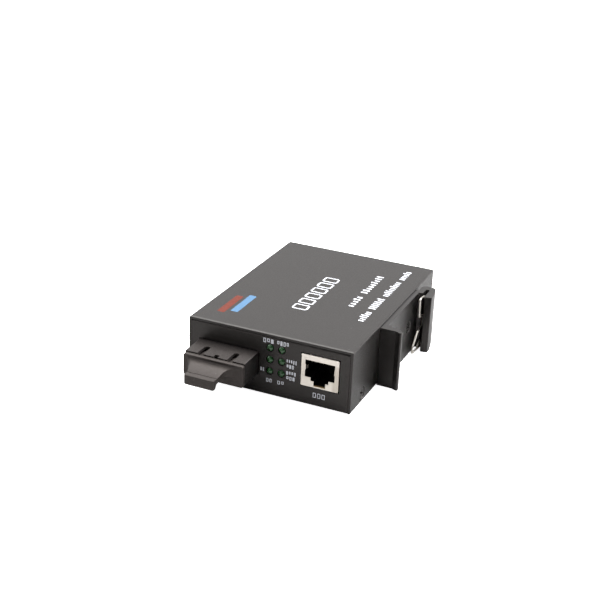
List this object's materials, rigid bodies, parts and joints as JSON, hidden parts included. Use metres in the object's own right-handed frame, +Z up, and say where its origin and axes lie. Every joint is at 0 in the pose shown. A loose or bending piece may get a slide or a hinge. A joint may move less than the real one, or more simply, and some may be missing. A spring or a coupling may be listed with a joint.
{
  "type": "fibre media converter",
  "caption": "Flat black steel box that converts a fibre link to a copper network link, with ports on the front, a dust plug and a side rail clip.",
  "frame": {"origin": "centre of the case's bottom face, where it rests on a table", "axes": "+Z up, -Y out of the front panel with the ports, +X towards the side wall that carries the rail clip"},
  "size_m": [0.0804, 0.1213, 0.0266],
  "materials": {
    "case_paint": "fine satin powder coat, black",
    "black_screw": "black oxide",
    "board_green": "solder mask",
    "plated_steel": "zinc plated",
    "tinned_steel": "bright tin",
    "port_plastic": "fine grain",
    "gold_contact": "gold plate",
    "component_black": "moulded",
    "lamp_green": "translucent green resin",
    "latch_plastic": "moulded natural",
    "plug_rubber": "soft matt",
    "can_aluminium": "bright can",
    "clip_anodised": "black anodised extrusion",
    "spring_steel": "bright drawn wire"
  },
  "bodies": {
    "root": {"top_cover": "case_paint", "base_tray": "case_paint", "cover_screws": "black_screw", "circuit_board": "board_green", "board_standoffs": "plated_steel", "board_screws": "plated_steel", "rj45_shield": "tinned_steel", "rj45_insert": "port_plastic", "rj45_contacts": "gold_contact", "network_transformer": "component_black", "transformer_leads": "tinned_steel", "led_holder": "component_black", "leds": "lamp_green", "led_leads": "tinned_steel", "transceiver_housing": "port_plastic", "transmit_optics": "plated_steel", "receive_optics": "plated_steel", "connector_latches": "latch_plastic", "transceiver_circuit": "board_green", "transceiver_pins": "tinned_steel", "power_jack": "component_black", "power_jack_pin": "tinned_steel", "controller_chip": "component_black", "crystal": "plated_steel", "electrolytic_capacitors": "can_aluminium", "voltage_regulator": "component_black", "power_inductor": "component_black", "rail_clip": "clip_anodised", "rail_clip_screws": "black_screw", "clip_nuts": "plated_steel"},
    "dust_plug": {"dust_plug": "plug_rubber"},
    "spring_wire": {"spring_wire": "spring_steel"}
  },
  "joints": [
    {"name": "dust_plug_pull", "type": "slide", "parent": "root", "child": "dust_plug", "axis": [0, -1, 0], "range_m": [0, 0.02]},
    {"name": "spring_press", "type": "slide", "parent": "root", "child": "spring_wire", "axis": [0, 1, 0], "range_m": [0, 0.003], "stiffness_N_per_m": 1500}
  ]
}
